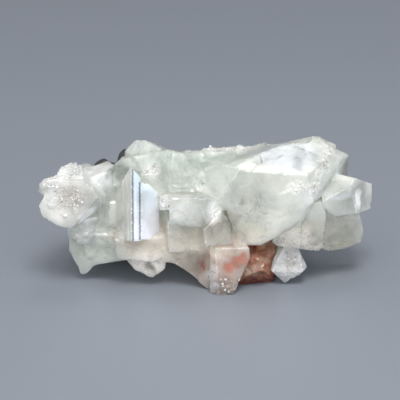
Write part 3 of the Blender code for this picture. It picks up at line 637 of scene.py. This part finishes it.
grain = add(tree, "ShaderNodeTexVoronoi", {"Vector": where}, Scale=FROST_SCALE)
uneven = add(tree, "ShaderNodeMapRange", {"Value": calm_in}, To_Min=0.07, To_Max=0.0)
dimples = add(tree, "ShaderNodeBump", {"Height": wisps.outputs["Fac"], "Strength": uneven.outputs["Result"]},
              Distance=0.0002)
frost = add(tree, "ShaderNodeBump",
            {"Height": grain.outputs["Distance"], "Normal": dimples.outputs["Normal"], "Strength": etch_in},
            Distance=0.0003)
tree.links.new(frost.outputs["Normal"], shader.inputs["Normal"])

shader.inputs["IOR"].default_value = APOPHYLLITE_IOR
shader.inputs["Subsurface Weight"].default_value = 1.0
shader.inputs["Subsurface Radius"].default_value = (1.0, 1.05, 1.0)
shader.inputs["Subsurface Scale"].default_value = SCATTER_DEPTH
absorb = add(tree, "ShaderNodeVolumeAbsorption", Color=linear(ABSORB_TINT), Density=ABSORB_DENSITY)
tree.links.new(absorb.outputs["Volume"], tree.nodes["Material Output"].inputs["Volume"])
druse_mesh.materials.append(crystal)

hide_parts("apophyllite_crystals")
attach(druse, "root")

# ---------------------------------------------------------------- drusy crystals
# Sugary crystals of the same apophyllite, under a millimetre wide, which grew last. They sit on the etched
# and pitted places of the big crystals, each a square block that tapers to a flat end and leans its own way.
DRUSY_WIDTH = 0.80                      # side of the foot of the largest
DRUSY_RADIUS = DRUSY_WIDTH / math.sqrt(2)  # from the middle of that foot to its corner
DRUSY_SMALLEST = 0.35                   # the smallest, as a share of the largest
DRUSY_PER_MM2 = 1.1                     # how many stand on a square millimetre that is fully etched
DRUSY_FROM = 0.35                       # none stand where it is etched less than this
DRUSY_TAPER = 0.6                       # width of the flat end, as a share of the width of the foot
DRUSY_SUNK = 0.45                       # share of the length, DRUSY_RADIUS, that is grown into the ground
DRUSY_LEAN = 0.5                        # radians
DRUSY_TURN = 3.1                        # radians about its own length
DRUSY_SEED = 5


def group_input(tree, name, kind, value=None):
    """A named input of a Geometry Nodes tree."""
    socket = tree.interface.new_socket(name, in_out="INPUT", socket_type=kind)
    if value is not None:
        socket.default_value = value
    return socket


scatter = bpy.data.node_groups.new("drusy crystals", "GeometryNodeTree")
group_input(scatter, "Geometry", "NodeSocketGeometry")
radius_socket = group_input(scatter, "Radius", "NodeSocketFloat", DRUSY_RADIUS * MM)
density_socket = group_input(scatter, "Density", "NodeSocketFloat", DRUSY_PER_MM2 / MM ** 2)
seed_socket = group_input(scatter, "Seed", "NodeSocketInt", DRUSY_SEED)
scatter.interface.new_socket("Geometry", in_out="OUTPUT", socket_type="NodeSocketGeometry")
given = add(scatter, "NodeGroupInput").outputs
etched = add(scatter, "GeometryNodeInputNamedAttribute", data_type="FLOAT")
etched.inputs["Name"].default_value = "etch"
strong = add(scatter, "ShaderNodeMapRange",
             {"Value": etched.outputs["Attribute"], "To Max": given["Density"]},
             From_Min=DRUSY_FROM, From_Max=1.0)
spots = add(scatter, "GeometryNodeDistributePointsOnFaces",
            {"Mesh": given["Geometry"], "Density": strong.outputs["Result"], "Seed": given["Seed"]})
across = add(scatter, "ShaderNodeMath", {0: given["Radius"]}, operation="MULTIPLY")
across.inputs[1].default_value = DRUSY_TAPER
block = add(scatter, "GeometryNodeMeshCone",
            {"Radius Top": across.outputs[0], "Radius Bottom": given["Radius"], "Depth": given["Radius"]},
            Vertices=4, fill_type="NGON")
sunk = add(scatter, "ShaderNodeMath", {0: given["Radius"]}, operation="MULTIPLY")
sunk.inputs[1].default_value = -DRUSY_SUNK
lowered = add(scatter, "ShaderNodeCombineXYZ", {"Z": sunk.outputs[0]})
one = add(scatter, "GeometryNodeTransform",
          {"Geometry": block.outputs["Mesh"], "Translation": lowered.outputs["Vector"]})
tilt = add(scatter, "FunctionNodeRandomValue", {"Seed": given["Seed"]}, data_type="FLOAT_VECTOR")
tilt.inputs[0].default_value = (-DRUSY_LEAN, -DRUSY_LEAN, -DRUSY_TURN)
tilt.inputs[1].default_value = (DRUSY_LEAN, DRUSY_LEAN, DRUSY_TURN)
turned = add(scatter, "FunctionNodeRotateRotation",
             {"Rotation": spots.outputs["Rotation"], "Rotate By": tilt.outputs["Value"]},
             rotation_space="LOCAL")
grown = add(scatter, "FunctionNodeRandomValue", {"Seed": given["Seed"]}, data_type="FLOAT")
grown.inputs[2].default_value = DRUSY_SMALLEST
grown.inputs[3].default_value = 1.0
placed = add(scatter, "GeometryNodeInstanceOnPoints",
             {"Points": spots.outputs["Points"], "Instance": one.outputs["Geometry"],
              "Rotation": turned.outputs["Rotation"], "Scale": grown.outputs[1]})
real = add(scatter, "GeometryNodeRealizeInstances", {"Geometry": placed.outputs["Instances"]})

# Clear in some places and frosted in others, so that they sparkle like sugar.
SUGAR_SCALE = 900.0                     # per metre: the frost changes over about a millimetre
sugar, tree, shader = new_finish("drusy apophyllite")
where = add(tree, "ShaderNodeTexCoord").outputs["Object"]
patchy = add(tree, "ShaderNodeTexNoise", {"Vector": where}, Scale=SUGAR_SCALE, Detail=3.0)
frost = add(tree, "ShaderNodeMapRange", {"Value": patchy.outputs["Fac"]}, From_Min=0.35, From_Max=0.65,
            To_Min=0.35, To_Max=0.90)
tree.links.new(frost.outputs["Result"], shader.inputs["Transmission Weight"])
shader.inputs["Base Color"].default_value = linear("#FBFAF8")
shader.inputs["Roughness"].default_value = 0.05
shader.inputs["IOR"].default_value = APOPHYLLITE_IOR

finish = add(scatter, "GeometryNodeSetMaterial", {"Geometry": real.outputs["Geometry"]})
finish.inputs["Material"].default_value = sugar
out = add(scatter, "NodeGroupOutput", {0: finish.outputs["Geometry"]})

ground = linked("ground", druse_mesh.copy())
modifier = ground.modifiers.new("drusy crystals", "NODES")
modifier.node_group = scatter
modifier[radius_socket.identifier] = DRUSY_RADIUS * MM
modifier[density_socket.identifier] = DRUSY_PER_MM2 / MM ** 2
modifier[seed_socket.identifier] = DRUSY_SEED
drusy_mesh = bpy.data.meshes.new_from_object(ground.evaluated_get(bpy.context.evaluated_depsgraph_get()))
bpy.data.objects.remove(ground)
drusy_mesh.materials.clear()
drusy_mesh.materials.append(sugar)
drusy_mesh.polygons.foreach_set("material_index", np.zeros(len(drusy_mesh.polygons), dtype=np.int32))
drusy = linked("drusy_crystals", drusy_mesh)
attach(drusy, "root")

# ---------------------------------------------------------------- stilbite
# A salmon-pink ball of stilbite, a zeolite that grows in sheaves of thin blades. The front crystals grew over
# it. Its broken surface is scaly and satiny, iron stains it red in patches, and it is darker and redder
# towards its foot.
STILBITE_SPACING = 0.45
STILBITE_FLAKE = 1.9                    # width of a scale
STILBITE_SLOPE = 0.22
STILBITE_GRAIN = 0.10
STILBITE_GRAIN_WIDE = 0.8
STILBITE_PROUD = 0.1                    # highest that it stands out
STILBITE_TINTS = ((0.41, "#957B6A"), (0.50, "#886049"), (0.60, "#7E4631"), (0.71, "#5C2A1C"))
STAIN_SCALE = 260.0                     # per metre: stains about 4 mm wide
FIBRE_SCALE = 1500.0                    # ends of blades, 0.7 mm, broader than the real ones so that they show


def weathered(points, directions, height_of, most):
    """Moves each corner out by height_of(place), but by most at most. What stands on the table stays."""
    moved = points.copy()
    for k, (p, out) in enumerate(zip(points, directions)):
        if p[2] > STANDING:
            moved[k] = p + out * min(height_of(Vector(p)), most)
    moved[:, 2] = np.maximum(moved[:, 2], 0.0)
    return moved


def set_tints(ramp, tints):
    """Gives a colour ramp its colours, each with its place."""
    for number, (place, tint) in enumerate(tints):
        mark = ramp.elements[number] if number < 2 else ramp.elements.new(place)
        mark.position = place
        mark.color = linear(tint)


def stilbite_height(at):
    """Scales and grain of the broken ball."""
    grain = STILBITE_GRAIN * noise.fractal(at / STILBITE_GRAIN_WIDE, 0.8, 2.0, 3)
    return shards(at, STILBITE_FLAKE, STILBITE_SLOPE) + grain


points, triangles, directions, *_ = fine_mesh(
    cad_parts["stilbite"], lambda middle, normal: STILBITE_SPACING
)
points = weathered(points, directions, stilbite_height, STILBITE_PROUD)
stilbite_mesh = mesh_of("stilbite", points, triangles, math.radians(20))
stilbite = linked("stilbite_ball", stilbite_mesh)

# Stilbite with iron in it: satiny and a little see-through, with a pearly sheen on its blades.
blades, tree, shader = new_finish("iron-stained stilbite")
where = add(tree, "ShaderNodeTexCoord").outputs["Object"]
stain = add(tree, "ShaderNodeTexNoise", {"Vector": where}, Scale=STAIN_SCALE, Detail=4.0, Roughness=0.6,
            Distortion=0.8)
low = add(tree, "ShaderNodeSeparateXYZ", {"Vector": where})
# Darker and redder within about 4 mm of the table.
foot = add(tree, "ShaderNodeMapRange", {"Value": low.outputs["Z"]}, From_Min=0.0008, From_Max=0.0042,
           To_Min=0.22, To_Max=0.0)
stained = add(tree, "ShaderNodeMath", {0: stain.outputs["Fac"], 1: foot.outputs["Result"]}, operation="ADD")
salmon = add(tree, "ShaderNodeValToRGB", {"Fac": stained.outputs[0]})
set_tints(salmon.color_ramp, STILBITE_TINTS)
tree.links.new(salmon.outputs["Color"], shader.inputs["Base Color"])
fibres = add(tree, "ShaderNodeTexNoise", {"Vector": where}, Scale=FIBRE_SCALE, Detail=4.0)
scaly = add(tree, "ShaderNodeBump", {"Height": fibres.outputs["Fac"]}, Strength=0.4, Distance=0.0002)
tree.links.new(scaly.outputs["Normal"], shader.inputs["Normal"])
satin_range = add(tree, "ShaderNodeMapRange", {"Value": fibres.outputs["Fac"]}, To_Min=0.25, To_Max=0.5)
tree.links.new(satin_range.outputs["Result"], shader.inputs["Roughness"])
shader.inputs["Subsurface Weight"].default_value = 0.35
shader.inputs["Subsurface Radius"].default_value = (1.0, 0.5, 0.35)
shader.inputs["Subsurface Scale"].default_value = 0.0015
shader.inputs["Coat Weight"].default_value = 0.25
shader.inputs["Coat Roughness"].default_value = 0.15
stilbite_mesh.materials.append(blades)
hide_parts("stilbite")
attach(stilbite, "root")

# ---------------------------------------------------------------- basalt
# The rind of dark basalt that the cavity was in, broken off rough at the back. It is fine-grained and nearly
# black, with small round gas holes.
BASALT_SPACING = 0.55
BASALT_ROUGH = 0.45
BASALT_ROUGH_WIDE = 3.0
BASALT_BREAK = 3.5                      # width of a facet of the break
BASALT_BREAK_SLOPE = 0.12
BASALT_PROUD = 0.12                     # highest that it stands out
VESICLE = 2.4                           # mean spacing of the gas holes
VESICLE_WIDE = 0.34                     # radius of one, as a share of that
VESICLE_DEEP = 0.7
BASALT_TINTS = ((0.35, "#1B1B1D"), (0.55, "#343437"), (0.68, "#4E4D4B"))
GRIT_SCALE = 1300.0                     # grains, 0.8 mm, coarser than the real ones so that they show


def basalt_height(at):
    """The broken face of the rind, with its gas holes."""
    rough = BASALT_ROUGH * noise.fractal(at / BASALT_ROUGH_WIDE, 0.8, 2.0, 5)
    near, _ = noise.voronoi(at / VESICLE)
    hole = VESICLE_DEEP * max(0.0, 1.0 - near[0] / VESICLE_WIDE) ** 0.5
    return rough + shards(at, BASALT_BREAK, BASALT_BREAK_SLOPE) - hole


points, triangles, directions, *_ = fine_mesh(
    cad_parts["basalt"], lambda middle, normal: BASALT_SPACING
)
points = weathered(points, directions, basalt_height, BASALT_PROUD)
basalt_mesh = mesh_of("basalt", points, triangles, math.radians(30))
basalt = linked("basalt_rind", basalt_mesh)

# Fine-grained basalt, broken and never polished: dark grey to black, dull and gritty.
lava, tree, shader = new_finish("broken basalt")
where = add(tree, "ShaderNodeTexCoord").outputs["Object"]
grit = add(tree, "ShaderNodeTexNoise", {"Vector": where}, Scale=GRIT_SCALE, Detail=6.0, Roughness=0.7)
stone = add(tree, "ShaderNodeValToRGB", {"Fac": grit.outputs["Fac"]})
set_tints(stone.color_ramp, BASALT_TINTS)
tree.links.new(stone.outputs["Color"], shader.inputs["Base Color"])
rough_stone = add(tree, "ShaderNodeMapRange", {"Value": grit.outputs["Fac"]}, To_Min=0.6, To_Max=0.95)
tree.links.new(rough_stone.outputs["Result"], shader.inputs["Roughness"])
gritty = add(tree, "ShaderNodeBump", {"Height": grit.outputs["Fac"]}, Strength=0.6, Distance=0.0004)
tree.links.new(gritty.outputs["Normal"], shader.inputs["Normal"])
basalt_mesh.materials.append(lava)
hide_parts("basalt")
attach(basalt, "root")
